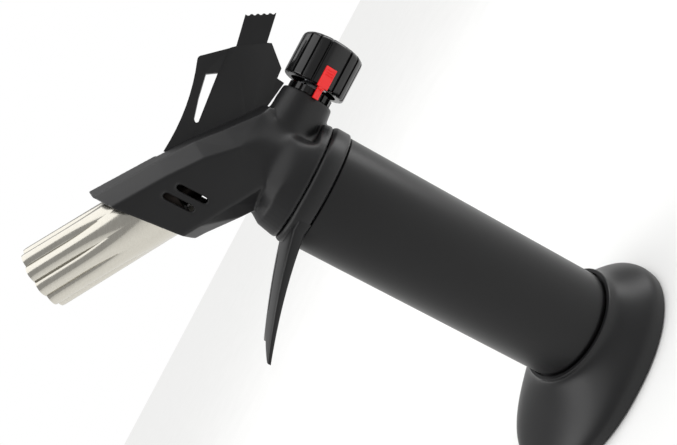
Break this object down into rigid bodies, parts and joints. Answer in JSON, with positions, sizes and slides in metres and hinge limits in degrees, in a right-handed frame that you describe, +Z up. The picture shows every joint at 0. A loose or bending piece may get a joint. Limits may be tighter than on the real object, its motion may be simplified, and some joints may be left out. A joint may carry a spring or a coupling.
{
  "type": "butane torch",
  "caption": "Hand-held butane torch on an oval foot, with inclined fluted burner, hood, finger guard, press-and-turn knob, sliding lock and thumb lever.",
  "frame": {"origin": "centre of the oval foot's flat underside", "axes": "+Z up along the fuel tank, -X the way the burner points, +X towards the knob, Y across, with Y = 0 the plane between the head shells"},
  "size_m": [0.1201, 0.06, 0.1993],
  "materials": {
    "satin_black_plastic": "moulded ABS, satin",
    "gloss_black_plastic": "moulded ABS, gloss",
    "tank_black": "satin black coating on aluminium",
    "black_rubber": "matt",
    "stainless": "polished stainless steel",
    "steel": "zinc plated",
    "brass": "turned",
    "grey_plastic": "moulded acetal",
    "red_plastic": "moulded ABS",
    "blackened_steel": "heat blackened",
    "ceramic": "glazed alumina"
  },
  "bodies": {
    "body": {"base": "satin_black_plastic", "finger_guard": "satin_black_plastic", "head_shell_left": "satin_black_plastic", "head_shell_right": "satin_black_plastic", "detent_ring": "gloss_black_plastic", "tank_sleeve": "tank_black", "foot_pad": "black_rubber", "fill_valve_seal": "black_rubber", "neck_seal": "black_rubber", "ignition_lead": "black_rubber", "nozzle_tube": "stainless", "base_screw_1": "steel", "base_screw_2": "steel", "head_screw_1": "steel", "head_screw_2": "steel", "lever_pin": "steel", "rocker_pin": "steel", "electrode": "steel", "knob_spring": "steel", "fill_valve_spring": "steel", "fill_valve_body": "brass", "outlet_valve_body": "brass", "gas_jet": "brass", "gas_line": "brass", "fuel_reservoir": "grey_plastic", "neck_core": "grey_plastic", "feed_tube": "grey_plastic", "piezo_igniter": "grey_plastic", "electrode_insulator": "ceramic", "flame_disc": "blackened_steel", "nozzle_socket": "blackened_steel", "mixing_tube": "blackened_steel"},
    "press": {"press_shaft": "grey_plastic", "piezo_hammer": "steel"},
    "knob": {"knob": "gloss_black_plastic"},
    "lock": {"lock_slider": "red_plastic"},
    "rocker": {"valve_rocker": "steel"},
    "outlet_stem": {"outlet_valve_stem": "brass"},
    "fill_stem": {"fill_valve_stem": "brass"},
    "lever": {"hold_lever": "satin_black_plastic"}
  },
  "joints": [
    {"name": "knob_press", "type": "slide", "parent": "body", "child": "press", "axis": [-1, 0, 0], "range_m": [0, 0.003], "stiffness_N_per_m": 800, "springref_m": -0.002, "deforming": ["knob_spring"]},
    {"name": "flame_dial", "type": "hinge", "parent": "press", "child": "knob", "pos_m": [0.0475, 0, 0.1412], "axis": [1, 0, 0], "range_deg": [-70, 70]},
    {"name": "lock_slide", "type": "slide", "parent": "knob", "child": "lock", "axis": [1, 0, 0], "range_m": [0, 0.0025]},
    {"name": "rocker_turn", "type": "hinge", "parent": "body", "child": "rocker", "pos_m": [0.0155, 0, 0.124], "axis": [0, -1, 0], "range_deg": [0, 15.5]},
    {"name": "outlet_valve_slide", "type": "slide", "parent": "body", "child": "outlet_stem", "axis": [0, 0, -1], "range_m": [0, 0.0013]},
    {"name": "fill_valve_slide", "type": "slide", "parent": "body", "child": "fill_stem", "axis": [0, 0, 1], "range_m": [0, 0.0015], "stiffness_N_per_m": 400, "springref_m": -0.001, "deforming": ["fill_valve_spring"]},
    {"name": "lever_rock", "type": "hinge", "parent": "body", "child": "lever", "pos_m": [0.0165, 0, 0.157], "axis": [0, -1, 0], "range_deg": [0, 5]}
  ],
  "couplings": [
    {"joint": "rocker_turn", "follows": "knob_press", "rad_per_m": 87.27},
    {"joint": "outlet_valve_slide", "follows": "knob_press", "ratio": 0.4167}
  ]
}
